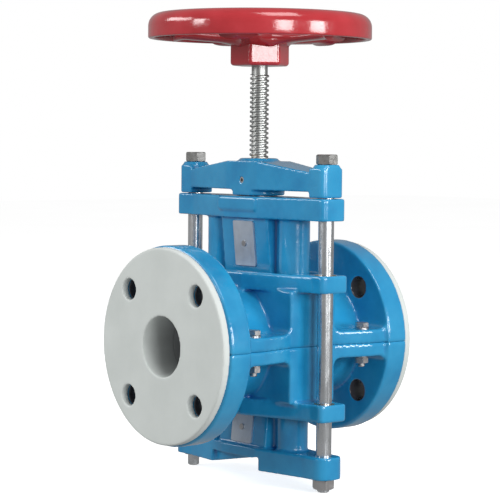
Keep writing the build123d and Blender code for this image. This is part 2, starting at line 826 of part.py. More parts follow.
upper_body = body_half()
parts = {
    "upper_body": upper_body,
    "lower_body": below(upper_body),
    "sleeve_tube": sleeve_tube(),
    "sleeve_ends": sleeve_ends(),
    "body_bolts": body_bolts(),
    "body_nuts": body_nuts(),
    "body_washers": body_washers(),
    "rod_bushes": rod_bushes(),
    "upper_carriage": upper_carriage(),
    "upper_pinch_bar": pinch_bar(),
    "upper_bar_screws": bar_screws(carriage_top - bar_screw_head_high),
    "spindle_bush": spindle_bush(),
    "thrust_washer": thrust_washer(),
    "spindle_retainer": retainer(),
    "retainer_screws": retainer_screws(),
    "upper_type_plate": type_plate(carriage_under, plate_height),
    "upper_plate_rivet": rivet(carriage_under, plate_height),
    "top_bridge": top_bridge(),
    "spindle_nut": spindle_nut(),
    "nut_set_screw": nut_set_screw(),
    "tie_rods": tie_rods(),
    "upper_rod_nuts": upper_rod_nuts(),
    "lower_rod_nuts": lower_rod_nuts(),
    "lower_bridge": lower_bridge(),
    "lower_pinch_bar": below(pinch_bar()),
    "lower_bar_screws": [below(s) for s in bar_screws(lower_under - bar_screw_seat_depth)],
    "lower_type_plate": below(type_plate(lower_top, lower_plate_height)),
    "lower_plate_rivet": below(rivet(lower_top, lower_plate_height)),
    "spindle": spindle(),
    "handwheel": handwheel(),
    "wheel_key": wheel_key(),
    "wheel_washer": wheel_washer(),
    "wheel_nut": wheel_nut(),
}

os.makedirs("parts", exist_ok=True)
for name, shape in parts.items():
    solids = Compound(children=shape) if isinstance(shape, list) else shape
    export_step(solids, f"parts/{name}.step")
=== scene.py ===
import math

import bmesh
import bpy
from mathutils import Matrix, Vector


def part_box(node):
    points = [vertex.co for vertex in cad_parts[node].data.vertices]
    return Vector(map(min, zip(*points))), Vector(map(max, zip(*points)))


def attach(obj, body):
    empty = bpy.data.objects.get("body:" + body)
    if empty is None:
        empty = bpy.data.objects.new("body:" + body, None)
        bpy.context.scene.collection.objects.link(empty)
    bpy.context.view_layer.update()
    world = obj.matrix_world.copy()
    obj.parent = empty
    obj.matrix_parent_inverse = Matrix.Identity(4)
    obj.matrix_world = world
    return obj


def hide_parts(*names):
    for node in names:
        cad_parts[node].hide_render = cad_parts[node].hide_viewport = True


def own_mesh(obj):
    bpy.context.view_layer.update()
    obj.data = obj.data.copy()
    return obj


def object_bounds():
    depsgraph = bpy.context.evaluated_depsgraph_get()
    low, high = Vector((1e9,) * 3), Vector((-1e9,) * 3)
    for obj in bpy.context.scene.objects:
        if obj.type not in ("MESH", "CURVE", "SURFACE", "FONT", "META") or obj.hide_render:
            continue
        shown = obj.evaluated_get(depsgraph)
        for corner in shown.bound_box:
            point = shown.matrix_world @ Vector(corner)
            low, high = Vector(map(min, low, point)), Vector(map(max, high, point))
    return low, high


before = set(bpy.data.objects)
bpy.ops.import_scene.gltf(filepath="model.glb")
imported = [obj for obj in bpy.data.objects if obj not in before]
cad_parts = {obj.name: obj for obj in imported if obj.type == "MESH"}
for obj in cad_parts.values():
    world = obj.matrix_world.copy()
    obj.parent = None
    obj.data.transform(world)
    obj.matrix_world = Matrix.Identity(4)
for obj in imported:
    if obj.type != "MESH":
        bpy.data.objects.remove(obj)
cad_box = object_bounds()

MM = 0.001


# ---------------------------------------------------------------- mesh helpers
def link(mesh, name):
    """A new piece at the origin that holds the mesh."""
    piece = bpy.data.objects.new(name, mesh)
    bpy.context.scene.collection.objects.link(piece)
    return piece


def finished(piece, body, slot, material, *nodes):
    """Gives a piece its material and its body, and hides the nodes it stands for; the slot is not used.
    """
    piece.data.materials.clear()
    piece.data.materials.append(material)
    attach(piece, body)
    if nodes:
        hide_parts(*nodes)
    return piece


def merged_copy(node):
    """A copy of a node's mesh with its loose triangles joined."""
    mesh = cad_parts[node].data.copy()
    bm = bmesh.new()
    bm.from_mesh(mesh)
    bmesh.ops.remove_doubles(bm, verts=bm.verts, dist=0.002 * MM)
    bm.to_mesh(mesh)
    bm.free()
    return mesh


def applied(piece):
    """The piece with its modifiers made part of its mesh."""
    graph = bpy.context.evaluated_depsgraph_get()
    mesh = bpy.data.meshes.new_from_object(piece.evaluated_get(graph))
    piece.modifiers.clear()
    piece.data = mesh
    return piece


def smooth_shaded(piece, crease=None):
    """Shades every face smooth, apart from creases sharper than an angle in degrees."""
    piece.data.polygons.foreach_set("use_smooth", [True] * len(piece.data.polygons))
    if crease is not None:
        piece.data.set_sharp_from_angle(angle=math.radians(crease))
    return piece


def joined(name, pieces):
    """One piece that holds the meshes of several, which are removed."""
    bm = bmesh.new()
    for piece in pieces:
        bm.from_mesh(piece.data)
        bpy.data.objects.remove(piece)
    mesh = bpy.data.meshes.new(name)
    bm.to_mesh(mesh)
    bm.free()
    return link(mesh, name)


def arc(centre_r, centre_z, radius, start, end, steps):
    """Points of an arc in the (radius, height) plane, angles in degrees."""
    angles = [math.radians(start + (end - start) * i / steps) for i in range(steps + 1)]
    return [(centre_r + radius * math.cos(a), centre_z + radius * math.sin(a)) for a in angles]


def lathe(name, outline, steps, crease=None):
    """Turns a closed outline of (radius, height) points in mm round the Z axis."""
    bm = bmesh.new()
    rings = []
    for i in range(steps):
        turn = 2 * math.pi * i / steps
        c, s = math.cos(turn) * MM, math.sin(turn) * MM
        rings.append([bm.verts.new((r * c, r * s, z * MM)) for r, z in outline])
    count = len(outline)
    for i in range(steps):
        here, there = rings[i], rings[(i + 1) % steps]
        for j in range(count):
            k = (j + 1) % count
            bm.faces.new((here[j], there[j], there[k], here[k]))
    bmesh.ops.remove_doubles(bm, verts=bm.verts, dist=1e-7)
    bmesh.ops.recalc_face_normals(bm, faces=bm.faces)
    mesh = bpy.data.meshes.new(name)
    bm.to_mesh(mesh)
    bm.free()
    return smooth_shaded(link(mesh, name), crease)


def lofted(name, sections):
    """Skins closed sections with the same number of points, and caps both ends."""
    bm = bmesh.new()
    rings = [[bm.verts.new(Vector(p) * MM) for p in section] for section in sections]
    count = len(rings[0])
    for here, there in zip(rings, rings[1:]):
        for j in range(count):
            k = (j + 1) % count
            bm.faces.new((here[j], here[k], there[k], there[j]))
    bm.faces.new(rings[0])
    bm.faces.new(rings[-1])
    bmesh.ops.recalc_face_normals(bm, faces=bm.faces)
    mesh = bpy.data.meshes.new(name)
    bm.to_mesh(mesh)
    bm.free()
    return link(mesh, name)


HEX_STEPS = 72
HEX_RIM = 0.475  # radius where the turned corners start, of the width across flats
HEX_BEVEL = math.tan(math.radians(30))
HEX_CREASE = 24


def hexagon(name, across_flats, low, high, bore_d=0.0):
    """A hexagon with 30 degree turned corners above and below, standing on the Z axis."""
    turns = [2 * math.pi * i / HEX_STEPS for i in range(HEX_STEPS)]
    rim = HEX_RIM * across_flats
    bm = bmesh.new()
    levels = []
    for level in range(4):
        ring = []
        for turn in turns:
            side = turn % (math.pi / 3) - math.pi / 6
            wide = across_flats / 2 / math.cos(side)
            fall = max(0.0, wide - rim) * HEX_BEVEL
            radius = (rim, wide, wide, rim)[level]
            z = (low, low + fall, high - fall, high)[level]
            corner = Vector((radius * math.cos(turn), radius * math.sin(turn), z))
            ring.append(bm.verts.new(corner * MM))
        levels.append(ring)
    if bore_d:
        bore = [(bore_d / 2 * math.cos(t), bore_d / 2 * math.sin(t)) for t in turns]
        for z in (high, low):
            levels.append([bm.verts.new(Vector((x, y, z)) * MM) for x, y in bore])
        levels.append(levels[0])
    for here, there in zip(levels, levels[1:]):
        for i in range(HEX_STEPS):
            k = (i + 1) % HEX_STEPS
            bm.faces.new((here[i], here[k], there[k], there[i]))
    if not bore_d:
        bm.faces.new(levels[0])
        bm.faces.new(levels[3])
    bmesh.ops.recalc_face_normals(bm, faces=bm.faces)
    mesh = bpy.data.meshes.new(name)
    bm.to_mesh(mesh)
    bm.free()
    return smooth_shaded(link(mesh, name), HEX_CREASE)


# ---------------------------------------------------------------- geometry node trees
class Tree:
    """A node tree for a modifier, with named inputs and one geometry result."""

    def __init__(self, name):
        self.group = bpy.data.node_groups.new(name, "GeometryNodeTree")
        self.group.interface.new_socket("Geometry", in_out="OUTPUT", socket_type="NodeSocketGeometry")
        self.enter = self.group.nodes.new("NodeGroupInput")
        self.leave = self.group.nodes.new("NodeGroupOutput")

    def size(self, name, kind="Float"):
        """A named input of the tree."""
        self.group.interface.new_socket(name, in_out="INPUT", socket_type="NodeSocket" + kind)
        return self.enter.outputs[name]

    def add(self, kind, links=None, **values):
        """A node with its settings; links are (input, socket)."""
        node = self.group.nodes.new(kind)
        for key, value in values.items():
            setattr(node, key, value)
        for key, value in (links or {}).items():
            if isinstance(value, bpy.types.NodeSocket):
                self.group.links.new(value, node.inputs[key])
            else:
                node.inputs[key].default_value = value
        return node

    def math(self, operation, a, b=0.0, c=0.0):
        """One sum on two or three values."""
        return self.add("ShaderNodeMath", {0: a, 1: b, 2: c}, operation=operation).outputs[0]

    def done(self, geometry, material):
        """Ends the tree: instances made real and given their material."""
        real = self.add("GeometryNodeRealizeInstances", {"Geometry": geometry}).outputs["Geometry"]
        shown = self.add("GeometryNodeSetMaterial", {"Geometry": real, "Material": material})
        self.group.links.new(shown.outputs["Geometry"], self.leave.inputs["Geometry"])
        return self.group


def grown(name, group, **sizes):
    """The plain mesh that a tree makes with these inputs."""
    piece = link(bpy.data.meshes.new(name), name)
    maker = piece.modifiers.new("maker", "NODES")
    maker.node_group = group
    for socket in group.interface.items_tree:
        if socket.in_out == "INPUT":
            maker[socket.identifier] = sizes[socket.name]
    return applied(piece)


def repeat_tree(material):
    """One pattern piece set out on a rectangular grid."""
    t = Tree("set_out_on_grid")
    pattern = t.size("pattern", "Object")
    across, along = t.size("across"), t.size("along")
    rows, columns = t.size("rows", "Int"), t.size("columns", "Int")
    grid = t.add("GeometryNodeMeshGrid", {
        "Size X": across, "Size Y": along, "Vertices X": rows, "Vertices Y": columns,
    }).outputs["Mesh"]
    made = t.add("GeometryNodeObjectInfo", {"Object": pattern}).outputs["Geometry"]
    placed = t.add("GeometryNodeInstanceOnPoints", {"Points": grid, "Instance": made})
    return t.done(placed.outputs["Instances"], material)


def spoke_tree(material):
    """One pattern piece turned round the Z axis."""
    t = Tree("turned_about_spindle")
    pattern, count = t.size("pattern", "Object"), t.size("count", "Int")
    points = t.add("GeometryNodePoints", {"Count": count}).outputs[0]
    index = t.add("GeometryNodeInputIndex").outputs[0]
    turn = t.math("MULTIPLY", t.math("DIVIDE", index, count), 2 * math.pi)
    spin = t.add("ShaderNodeCombineXYZ", {"Z": turn}).outputs[0]
    made = t.add("GeometryNodeObjectInfo", {"Object": pattern}).outputs["Geometry"]
    placed = t.add("GeometryNodeInstanceOnPoints", {"Points": points, "Instance": made, "Rotation": spin})
    return t.done(placed.outputs["Instances"], material)


THREAD_ROWS = 16.0  # rows of faces in one pitch
THREAD_AROUND = 64
TOOTH_STEEPNESS = 2.1
TOOTH_OFFSET = 1.55
THREAD_WALL = 0.9  # points beyond this share of the minor radius are on the wall


def thread_tree(material):
    """A trapezoidal thread: a tube whose radius follows height and turn."""
    t = Tree("trapezoidal_thread")
    major, minor, pitch = t.size("major"), t.size("minor"), t.size("pitch")
    low, high = t.size("low"), t.size("high")
    length = t.math("SUBTRACT", high, low)
    rows = t.math("MULTIPLY", t.math("DIVIDE", length, pitch), THREAD_ROWS)
    whole_rows = t.add("FunctionNodeFloatToInt", {0: rows}).outputs[0]
    tube = t.add("GeometryNodeMeshCylinder", {
        "Vertices": THREAD_AROUND, "Side Segments": whole_rows, "Radius": minor, "Depth": length,
    }).outputs["Mesh"]
    place = t.add("GeometryNodeInputPosition").outputs[0]
    parts = t.add("ShaderNodeSeparateXYZ", {0: place}).outputs
    turn = t.math("DIVIDE", t.math("ARCTAN2", parts["Y"], parts["X"]), 2 * math.pi)
    phase = t.math("FRACT", t.math("SUBTRACT", t.math("DIVIDE", parts["Z"], pitch), turn))
    wave = t.math("MULTIPLY", t.math("ABSOLUTE", t.math("SUBTRACT", phase, 0.5)), 4.0)
    flank = t.math("SUBTRACT", t.math("MULTIPLY", wave, TOOTH_STEEPNESS), TOOTH_OFFSET)
    tooth = t.add("ShaderNodeClamp", {"Value": flank}).outputs[0]
    flat = t.add("ShaderNodeCombineXYZ", {"X": parts["X"], "Y": parts["Y"]}).outputs[0]
    reach = t.add("ShaderNodeVectorMath", {0: flat}, operation="LENGTH").outputs["Value"]
    radius = t.math("MULTIPLY_ADD", t.math("SUBTRACT", major, minor), tooth, reach)
    grow = t.math("DIVIDE", radius, t.math("MAXIMUM", reach, 1e-6))
    inside = t.math("GREATER_THAN", reach, t.math("MULTIPLY", minor, THREAD_WALL))
    middle = t.math("DIVIDE", t.math("ADD", low, high), 2.0)
    spot = t.add("ShaderNodeCombineXYZ", {
        "X": t.math("MULTIPLY", parts["X"], grow), "Y": t.math("MULTIPLY", parts["Y"], grow),
        "Z": t.math("ADD", parts["Z"], middle),
    }).outputs[0]
    still = t.add("ShaderNodeCombineXYZ", {
        "X": parts["X"], "Y": parts["Y"], "Z": t.math("ADD", parts["Z"], middle),
    }).outputs[0]
    chosen = t.add("ShaderNodeMix", {"Factor": inside, 4: still, 5: spot}, data_type="VECTOR")
    moved = t.add("GeometryNodeSetPosition", {"Geometry": tube, "Position": chosen.outputs[1]})
    return t.done(moved.outputs["Geometry"], material)


def cast(node, name, grain, passes):
    """A casting with the soft edges and fillets of sand casting, from its plain node."""
    piece = link(merged_copy(node), name)
    remesh = piece.modifiers.new("remesh", "REMESH")
    remesh.mode = "VOXEL"
    remesh.voxel_size = grain
    soften = piece.modifiers.new("soften", "SMOOTH")
    soften.factor = 0.5
    soften.iterations = passes
    return smooth_shaded(applied(piece))


# ---------------------------------------------------------------- materials
class Nodes:
    """Short way to add and join the nodes of one material."""

    def __init__(self, name):
        self.material = bpy.data.materials.new(name)
        self.material.use_nodes = True
        self.tree = self.material.node_tree
        self.shader = self.tree.nodes["Principled BSDF"]
        self.place = self.add("ShaderNodeTexCoord").outputs["Object"]

    def add(self, kind, **values):
        node = self.tree.nodes.new(kind)
        for key, value in values.items():
            if key in node.inputs:
                node.inputs[key].default_value = value
            else:
                setattr(node, key, value)
        return node

    def join(self, a, b):
        self.tree.links.new(a, b)

    def noise(self, scale, detail=4.0, roughness=0.55, stretch=(1, 1, 1)):
        """Fractal noise on Object coordinates; scale is in waves a metre."""
        mapping = self.add("ShaderNodeMapping")
        mapping.inputs["Scale"].default_value = stretch
        node = self.add("ShaderNodeTexNoise")
        node.inputs["Scale"].default_value = scale
        node.inputs["Detail"].default_value = detail
        node.inputs["Roughness"].default_value = roughness
        self.join(self.place, mapping.inputs["Vector"])
        self.join(mapping.outputs["Vector"], node.inputs["Vector"])
        return node.outputs["Fac"]

    def ramp(self, value, stops):
        """A colour ramp; stops are (place, colour)."""
        node = self.add("ShaderNodeValToRGB")
        elements = node.color_ramp.elements
        while len(elements) < len(stops):
            elements.new(0.5)
        for element, (where, colour) in zip(elements, stops):
            element.position = where
            element.color = (*colour, 1.0)
        self.join(value, node.inputs["Fac"])
        return node.outputs["Color"]

    def band(self, value, low, high, out_low, out_high):
        """Maps a stretch of a value to another, and holds it at the ends."""
        node = self.add("ShaderNodeMapRange")
        node.inputs["From Min"].default_value = low
        node.inputs["From Max"].default_value = high
        node.inputs["To Min"].default_value = out_low
        node.inputs["To Max"].default_value = out_high
        self.join(value, node.inputs["Value"])
        return node.outputs["Result"]

    def mix(self, share, a, b):
        """Mix of two colours by a share."""
        node = self.add("ShaderNodeMix", data_type="RGBA")
        self.join(share, node.inputs[0])
        for socket, value in ((node.inputs[6], a), (node.inputs[7], b)):
            if isinstance(value, tuple):
                socket.default_value = (*value, 1.0)
            else:
                self.join(value, socket)
        return node.outputs[2]

    def sum(self, operation, a, b=0.0):
        """One sum on values or sockets."""
        node = self.add("ShaderNodeMath", operation=operation)
        for socket, value in zip(node.inputs, (a, b)):
            if isinstance(value, float):
                socket.default_value = value
            else:
                self.join(value, socket)
        return node.outputs[0]

    def edges(self, low, high):
        """Pointiness mapped onto 0 to 1: with low under high it is 1 on convex edges, for painted
        highlight; with low over high it is 1 in hollows, for painted shade.
        """
        pointed = self.add("ShaderNodeNewGeometry").outputs["Pointiness"]
        return self.band(pointed, low, high, 0.0, 1.0)

    def bump(self, height, depth, strength=1.0, under=None):
        """Bump from a height, depth in metres."""
        node = self.add("ShaderNodeBump")
        node.inputs["Distance"].default_value = depth
        node.inputs["Strength"].default_value = strength
        self.join(height, node.inputs["Height"])
        if under is not None:
            self.join(under, node.inputs["Normal"])
        return node.outputs["Normal"]

    def done(self, colour=None, roughness=None, normal=None, **fixed):
        """Joins the finished parts to the shader and sets its fixed sockets."""
        for socket, value in (("Base Color", colour), ("Roughness", roughness), ("Normal", normal)):
            if value is not None:
                self.join(value, self.shader.inputs[socket])
        for key, value in fixed.items():
            self.shader.inputs[key.replace("_", " ")].default_value = value
        return self.material


# near-black painted shade on the walls of the flange drillings
DRILLED_RADIUS = 9.6
DRILLED_OFFSET = 44.2  # drilling to each centre plane
DRILLED_FROM = 60.0  # drillings lie beyond this along the flow
DRILLED_EDGE = 0.2
DRILLING_PAINTED_SHADE = (0.055, 0.055, 0.065)


def drilling_shade_mask(n):
    """1 on the walls of the pipe flanges' drillings, where a near-black painted shade goes, 0 elsewhere.
    """
    parts = n.add("ShaderNodeSeparateXYZ")
    n.join(n.place, parts.inputs[0])
    x, y, z = (n.sum("ABSOLUTE", parts.outputs[i]) for i in range(3))
    y = n.sum("SUBTRACT", y, DRILLED_OFFSET * MM)
    z = n.sum("SUBTRACT", z, DRILLED_OFFSET * MM)
    reach = n.sum("SQRT", n.sum("ADD", n.sum("MULTIPLY", y, y), n.sum("MULTIPLY", z, z)))
    near = n.band(reach, (DRILLED_RADIUS - DRILLED_EDGE) * MM, DRILLED_RADIUS * MM, 1.0, 0.0)
    return n.sum("MULTIPLY", near, n.sum("GREATER_THAN", x, DRILLED_FROM * MM))


def enamel(name, deep, main, light, gloss, drillings=False):
    """Brushed gloss enamel on a sand casting, with painted highlight on convex edges and painted shade in
    hollows.
    """
    n = Nodes(name)
    cloud = n.noise(28.0, 5.0)
    colour = n.ramp(cloud, [(0.3, deep), (0.5, main), (0.72, light)])
    # painted highlight: convex edges lightened towards the lightest tone
    colour = n.mix(n.edges(0.53, 0.62), colour, light)
    # painted shade: hollows darkened towards a violet deep blue
    painted_hollow_shade = n.edges(0.49, 0.45)
    colour = n.mix(painted_hollow_shade, colour, (1.2 * deep[0], 0.6 * deep[1], 0.85 * deep[2]))
    # painted shade: the flange drillings' walls made near black
    if drillings:
        colour = n.mix(drilling_shade_mask(n), colour, DRILLING_PAINTED_SHADE)
    grain = n.noise(900.0, 3.0, 0.6)
    peel = n.noise(230.0, 2.0, 0.4)
    normal = n.bump(grain, 0.00012, 0.35)
    normal = n.bump(peel, 0.0005, 0.25, normal)
    roughness = n.band(n.noise(60.0, 4.0), 0.3, 0.7, gloss - 0.05, gloss + 0.09)
    return n.done(colour, roughness, normal, Coat_Weight=0.5, Coat_Roughness=0.08, Specular_IOR_Level=0.5)


PAINTED_SHADE_START = 101.0  # painted shade in the bore starts here, along the flow, and is full at the next value
PAINTED_SHADE_FULL = 55.0
RUBBER_BORE = (26.5, 27.5)  # radii between which the bore's painted shade fades out
# colour of the painted shade deep in the bore
BORE_PAINTED_SHADE = (0.30, 0.30, 0.32)


def white_rubber():
    """Moulded light grey natural rubber, slightly chalky, with painted shade deep in its bore."""
    n = Nodes("white_rubber")
    colour = n.ramp(n.noise(22.0, 6.0), [
        (0.25, (0.60, 0.64, 0.62)), (0.55, (0.66, 0.70, 0.68)), (0.8, (0.70, 0.74, 0.72)),
    ])
    parts = n.add("ShaderNodeSeparateXYZ")
    n.join(n.place, parts.inputs[0])
    x, y, z = parts.outputs
    # painted shade: the bore darkens towards the middle of the valve
    deep = n.band(n.sum("ABSOLUTE", x), PAINTED_SHADE_START * MM, PAINTED_SHADE_FULL * MM, 0.0, 1.0)
    reach = n.sum("SQRT", n.sum("ADD", n.sum("MULTIPLY", y, y), n.sum("MULTIPLY", z, z)))
    bore = n.band(reach, RUBBER_BORE[0] * MM, RUBBER_BORE[1] * MM, 1.0, 0.0)
    colour = n.mix(n.sum("MULTIPLY", deep, bore), colour, BORE_PAINTED_SHADE)
    normal = n.bump(n.noise(1400.0, 3.0), 0.00008, 0.4)
    normal = n.bump(n.noise(90.0, 2.0), 0.0004, 0.2, normal)
    roughness = n.band(n.noise(70.0), 0.3, 0.7, 0.5, 0.68)
    return n.done(colour, roughness, normal, Specular_IOR_Level=0.35)


def steel(name, dark, main, light, rough, stretch=(1, 1, 1)):
    """Turned or ground bright steel with fine drawn marks."""
    n = Nodes(name)
    marks = n.noise(420.0, 4.0, 0.6, stretch)
    colour = n.ramp(n.noise(50.0, 5.0), [(0.25, dark), (0.5, main), (0.78, light)])
    normal = n.bump(marks, 0.00006, 0.35)
    roughness = n.band(marks, 0.3, 0.7, rough - 0.06, rough + 0.1)
    return n.done(colour, roughness, normal, Metallic=1.0)


BLUES = ((0.012, 0.225, 0.47), (0.018, 0.28, 0.54), (0.032, 0.33, 0.60))
BODY_BLUE = enamel("body_enamel", *BLUES, 0.17, drillings=True)
BLUE = enamel("bridge_enamel", *BLUES, 0.18)
RED = enamel("red_enamel", (0.40, 0.018, 0.024), (0.46, 0.026, 0.034), (0.51, 0.036, 0.046), 0.13)
RUBBER = white_rubber()
ROD_STEEL = steel(
    "bright_rod_steel", (0.50, 0.52, 0.54), (0.64, 0.66, 0.68), (0.74, 0.76, 0.78), 0.24, (1, 1, 0.1),
)
SPINDLE_STEEL = steel("spindle_steel", (0.30, 0.31, 0.30), (0.42, 0.43, 0.42), (0.52, 0.53, 0.52), 0.40)
ZINC = steel("zinc_plate", (0.36, 0.35, 0.35), (0.50, 0.49, 0.49), (0.62, 0.61, 0.61), 0.34)
NUT_STEEL = steel("nut_steel", (0.28, 0.28, 0.27), (0.42, 0.42, 0.41), (0.56, 0.56, 0.55), 0.30)
BAR_STEEL = steel("machined_bar_steel", (0.34, 0.34, 0.35), (0.46, 0.46, 0.47), (0.56, 0.56, 0.57), 0.34)
PLATE = steel("type_plate_steel", (0.46, 0.51, 0.58), (0.55, 0.61, 0.69), (0.64, 0.70, 0.77), 0.45)
BRONZE = steel("bronze", (0.36, 0.22, 0.09), (0.50, 0.33, 0.14), (0.60, 0.42, 0.20), 0.34)

NODE_FINISH = {
    "body_washers": ZINC, "rod_bushes": BRONZE, "upper_pinch_bar": BAR_STEEL,
    "upper_bar_screws": ZINC, "spindle_bush": BRONZE, "thrust_washer": BRONZE,
    "spindle_retainer": BAR_STEEL, "retainer_screws": ZINC, "upper_type_plate": PLATE,
    "upper_plate_rivet": ZINC, "spindle_nut": BRONZE, "nut_set_screw": ZINC, "tie_rods": ROD_STEEL,
    "lower_pinch_bar": BAR_STEEL, "lower_bar_screws": ZINC, "lower_type_plate": PLATE,
    "lower_plate_rivet": ZINC, "wheel_key": BAR_STEEL, "wheel_washer": ZINC,
    "sleeve_tube": RUBBER, "sleeve_ends": RUBBER,
}


def finish_nodes():
    """The finish of every node that is shown as it is."""
    for node, material in NODE_FINISH.items():
        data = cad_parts[node].data
        data.materials.clear()
        data.materials.append(material)


# ---------------------------------------------------------------- castings
CAST_PASSES = 4
CASTINGS = {  # body, and size of grain in mm
    "upper_body": ("body", 1.3), "lower_body": ("body", 1.3), "upper_carriage": ("carriage", 1.0),
    "top_bridge": ("yoke", 0.9), "lower_bridge": ("yoke", 1.1),
}


def castings():
    """Painted castings, their corners softened as sand casting leaves them."""
    for node, (body, grain) in CASTINGS.items():
        piece = cast(node, "cast_" + node, grain * MM, CAST_PASSES)
        finished(piece, body, "blue_paint", BODY_BLUE if body == "body" else BLUE, node)


# ---------------------------------------------------------------- handwheel
RIM_STEPS = 192
RIM_WIDTH = 24.0
RIM_WALL = 5.0
RIM_HEIGHT = 21.3
RIM_LIP_LIFT = 5.0  # inner lip above the outer one
RIM_CROWN = 11.0
LIP_ROUND = 1.4
HUB_FLATS = 44.0
HUB_CORNER = 3.6
HUB_HEIGHT = 27.0
HUB_ROUND = 2.8
HUB_STEPS = 7  # steps of the rounding at each end
HUB_CREASE = 35
CORNER_STEPS = 6
CORNER_SHARE = 0.5  # of the inset, taken off the corner's radius
EDGE_BAND = 0.5  # narrow band that keeps the flats flat beside a rounded corner
WHEEL_BORE = 5.9  # radius
SPOKES = 5
SPOKE_WIDTH = 17.0
SPOKE_THICK = 7.0
SPOKE_RISE = 4.0
SPOKE_DROP = 2.0  # below the hub's top
SPOKE_IN_HUB = 5.0
SPOKE_IN_RIM = 2.5
SPOKE_STATIONS = 28
SPOKE_AROUND = 32
HUB_FLARE, HUB_FLARE_LENGTH, HUB_FLARE_LIMIT = 7.0, 14.0, 1.3
RIM_FLARE, RIM_FLARE_LENGTH, RIM_FLARE_LIMIT = 6.0, 9.0, 1.2
FLARE_THICK = 0.30  # share of the flare that thickens the spoke
SIDE_POWER, TOP_POWER = 0.62, 0.75  # under 1 squares the spoke's oval section


def rim_outline(outer, top):
    """Section of the rim: a rounded crown over an open channel."""
    inner = outer - RIM_WIDTH
    low = top - RIM_HEIGHT
    lip = low + RIM_LIP_LIFT
    middle = top - RIM_CROWN
    wall = RIM_CROWN - RIM_WALL
    points = arc(outer - LIP_ROUND, low + LIP_ROUND, LIP_ROUND, -90, 0, 4)
    points += arc(outer - RIM_CROWN, middle, RIM_CROWN, 0, 90, 14)
    points += arc(inner + RIM_CROWN, middle, RIM_CROWN, 90, 180, 14)
    points += arc(inner + LIP_ROUND, lip + LIP_ROUND, LIP_ROUND, 180, 270, 4)
    points += arc(inner + RIM_WALL - LIP_ROUND, lip + LIP_ROUND, LIP_ROUND, 270, 360, 4)
    points += arc(inner + RIM_CROWN, middle, wall, 180, 90, 8)
    points += arc(outer - RIM_CROWN, middle, wall, 90, 0, 8)
    points += arc(outer - RIM_WALL + LIP_ROUND, low + LIP_ROUND, LIP_ROUND, 180, 270, 4)
    return points


def spoke_pattern(hub_top, rim_inner):
    """One spoke, flared into the hub and the rim."""
    hub_radius = HUB_FLATS / 2
    start, end = hub_radius - SPOKE_IN_HUB, rim_inner + SPOKE_IN_RIM
    base = hub_top - SPOKE_THICK / 2 - SPOKE_DROP
    sections = []
    for i in range(SPOKE_STATIONS + 1):
        share = i / SPOKE_STATIONS
        r = start + (end - start) * share
        to_hub = min(HUB_FLARE_LIMIT, max(0.0, 1 - (r - hub_radius) / HUB_FLARE_LENGTH))
        to_rim = min(RIM_FLARE_LIMIT, max(0.0, 1 - (rim_inner - r) / RIM_FLARE_LENGTH))
        flare = HUB_FLARE * to_hub ** 2 + RIM_FLARE * to_rim ** 2
        half_wide = SPOKE_WIDTH / 2 + flare
        half_thick = SPOKE_THICK / 2 + FLARE_THICK * flare
        z = base + SPOKE_RISE * share
        section = []
        for j in range(SPOKE_AROUND):
            turn = 2 * math.pi * j / SPOKE_AROUND
            c, s = math.cos(turn), math.sin(turn)
            y = half_wide * math.copysign(abs(c) ** SIDE_POWER, c)
            section.append((r, y, z + half_thick * math.copysign(abs(s) ** TOP_POWER, s)))
        sections.append(section)
    return smooth_shaded(lofted("spoke", sections))


def hub_section(inset, z):
    """Hexagon with rounded corners, two of its flats square to the flow axis."""
    flats, corner = HUB_FLATS / 2 - inset, HUB_CORNER - CORNER_SHARE * inset
    centre = (flats - corner) / math.cos(math.pi / 6)
    section = []
    for k in range(6):
        middle = math.radians(60 * k + 30)
        x, y = centre * math.cos(middle), centre * math.sin(middle)
        turns = [middle + math.radians(-30 + 60 * i / CORNER_STEPS) for i in range(CORNER_STEPS + 1)]
        points = [(x + corner * math.cos(t), y + corner * math.sin(t)) for t in turns]
        first, last = turns[0], turns[-1]
        before = (points[0][0] + EDGE_BAND * math.sin(first), points[0][1] - EDGE_BAND * math.cos(first))
        after = (points[-1][0] - EDGE_BAND * math.sin(last), points[-1][1] + EDGE_BAND * math.cos(last))
        section += [(px, py, z) for px, py in [before, *points, after]]
    return section


def hexagonal_hub(under, top):
    """Hexagonal boss with rounded ends."""
    levels = arc(0, under + HUB_ROUND, HUB_ROUND, -90, 0, HUB_STEPS)
    levels += [(HUB_ROUND, under + HUB_ROUND + EDGE_BAND), (HUB_ROUND, top - HUB_ROUND - EDGE_BAND)]
    levels += arc(0, top - HUB_ROUND, HUB_ROUND, 0, 90, HUB_STEPS)
    sections = [hub_section(HUB_ROUND - reach, z) for reach, z in levels]
    return smooth_shaded(lofted("hub", sections), HUB_CREASE)


def handwheel():
    """Glossy red wheel: smooth rim and hexagonal hub on five flared spokes."""
    low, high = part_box("handwheel")
    outer = high.x / MM
    top = high.z / MM
    under = low.z / MM
    hub_top = under + HUB_HEIGHT
    rim = lathe("rim", rim_outline(outer, top), RIM_STEPS)
    hub = hexagonal_hub(under, hub_top)
    spoke = spoke_pattern(hub_top, outer - RIM_WIDTH)
    spokes = grown("spokes", spoke_tree(RED), pattern=spoke, count=SPOKES)
    bpy.data.objects.remove(spoke)
    wheel = joined("handwheel_casting", [rim, hub, spokes])
    finished(wheel, "wheel", "red_paint", RED, "handwheel")


# ---------------------------------------------------------------- spindle
THREAD_MAJOR = 7.98  # this, the minor, journal, collar and neck are radii
THREAD_MINOR = 6.35
THREAD_PITCH = 4.0
THREAD_CREASE = 32
THREAD_OVERLAP = 0.2  # of the thread and the collar
CORE_CLEAR = 0.05  # the bar under the thread is that much thinner
JOURNAL = 6.0
COLLAR = 11.0
COLLAR_HIGH = 6.0
COLLAR_BEVEL = 0.5
COLLAR_CLEAR = 0.1
NECK = 6.8
NECK_HIGH = 7.0
TIP_BEVEL = 0.8
BAR_STEPS = 96
BAR_CREASE = 20


